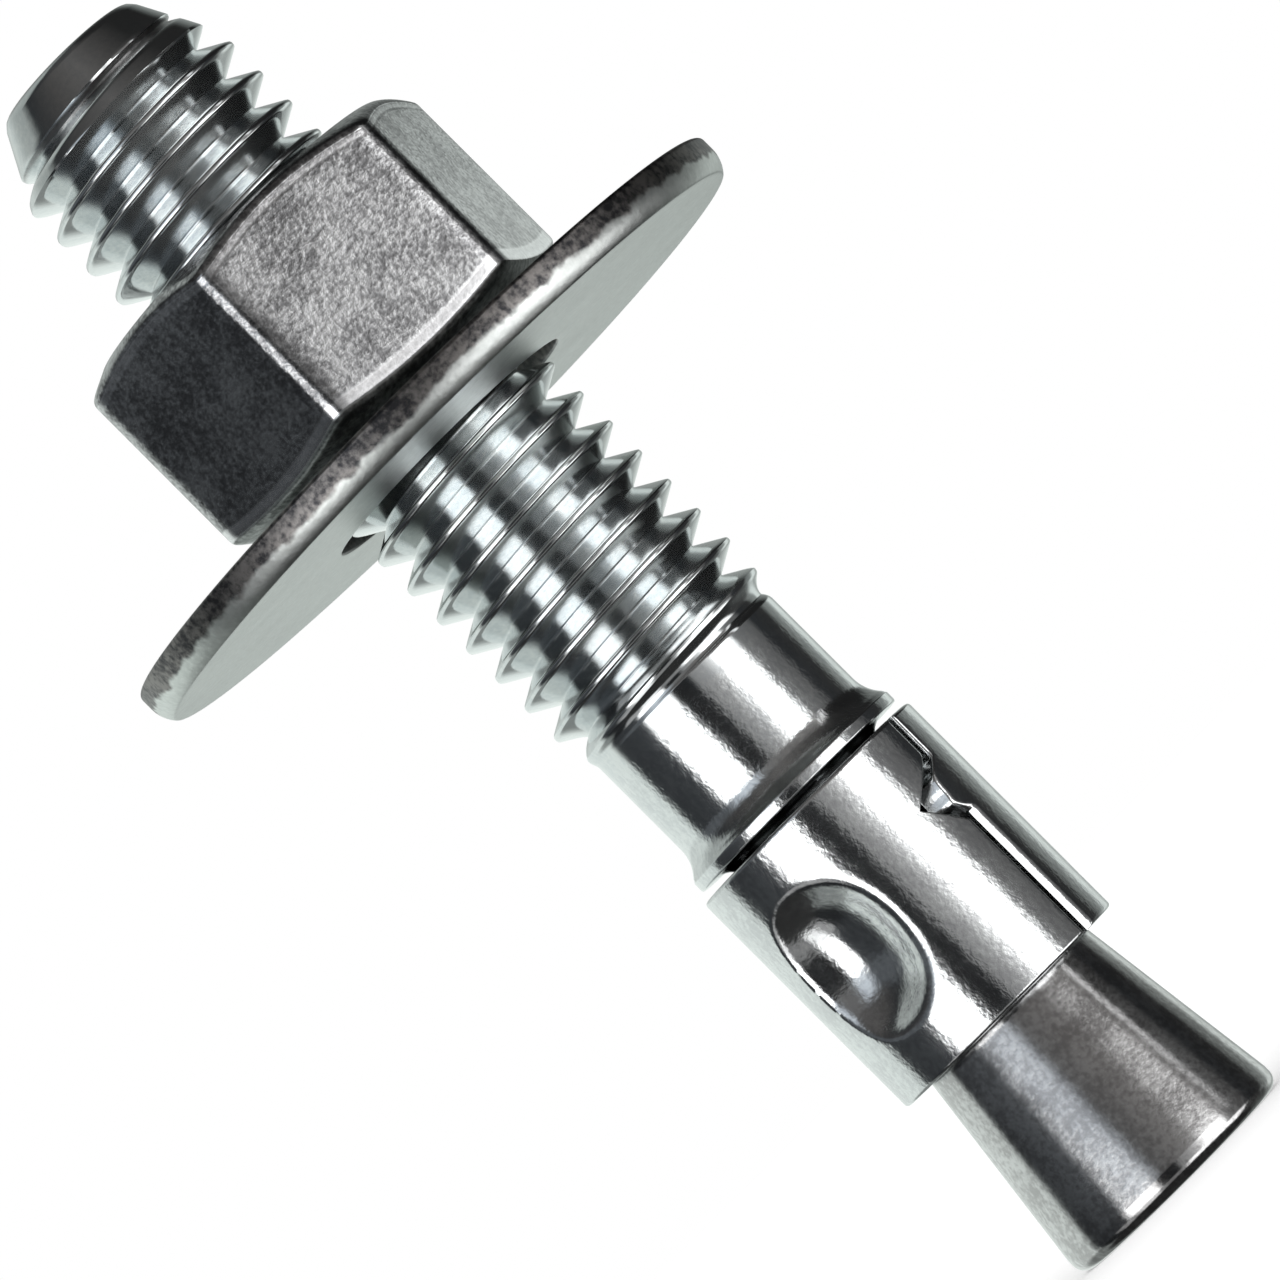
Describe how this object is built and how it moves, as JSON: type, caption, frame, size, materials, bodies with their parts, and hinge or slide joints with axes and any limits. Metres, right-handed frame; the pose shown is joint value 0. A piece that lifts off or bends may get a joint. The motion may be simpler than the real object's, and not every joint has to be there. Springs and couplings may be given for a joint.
{
  "type": "wedge anchor",
  "caption": "Threaded wedge anchor for concrete: cone-ended stud with a split expansion clip, large flat washer and hex nut.",
  "frame": {"origin": "centre of the flat end face of the stud's cone", "axes": "+Z along the stud's axis, from the cone end up to the nose; +X and +Y across it, and the clip's slit faces 37 degrees from +X towards -Y"},
  "size_m": [0.0374, 0.0374, 0.0744],
  "materials": {
    "stud_zinc": "bright zinc plate on cold-formed steel",
    "clip_zinc": "bright zinc plate on rolled strip",
    "nut_zinc": "grainy zinc plate on forged steel",
    "washer_zinc": "dull zinc plate on blanked sheet"
  },
  "bodies": {
    "stud": {"stud": "stud_zinc"},
    "washer": {"washer": "washer_zinc"},
    "nut": {"hex_nut": "nut_zinc"},
    "clip": {"expansion_clip": "clip_zinc"}
  },
  "joints": [
    {"name": "washer_travel", "type": "slide", "parent": "stud", "child": "washer", "axis": [0, 0, 1], "range_m": [-0.01575, 0.01645]},
    {"name": "nut_turn", "type": "hinge", "parent": "washer", "child": "nut", "pos_m": [0, 0, 0.05705], "axis": [0, 0, 1], "range_deg": [-2900, 3030]},
    {"name": "clip_slide", "type": "slide", "parent": "stud", "child": "clip", "axis": [0, 0, 1], "range_m": [-0.0022, 0.00035]}
  ],
  "couplings": [
    {"joint": "washer_travel", "follows": "nut_turn", "m_per_rad": 0.00031096}
  ]
}
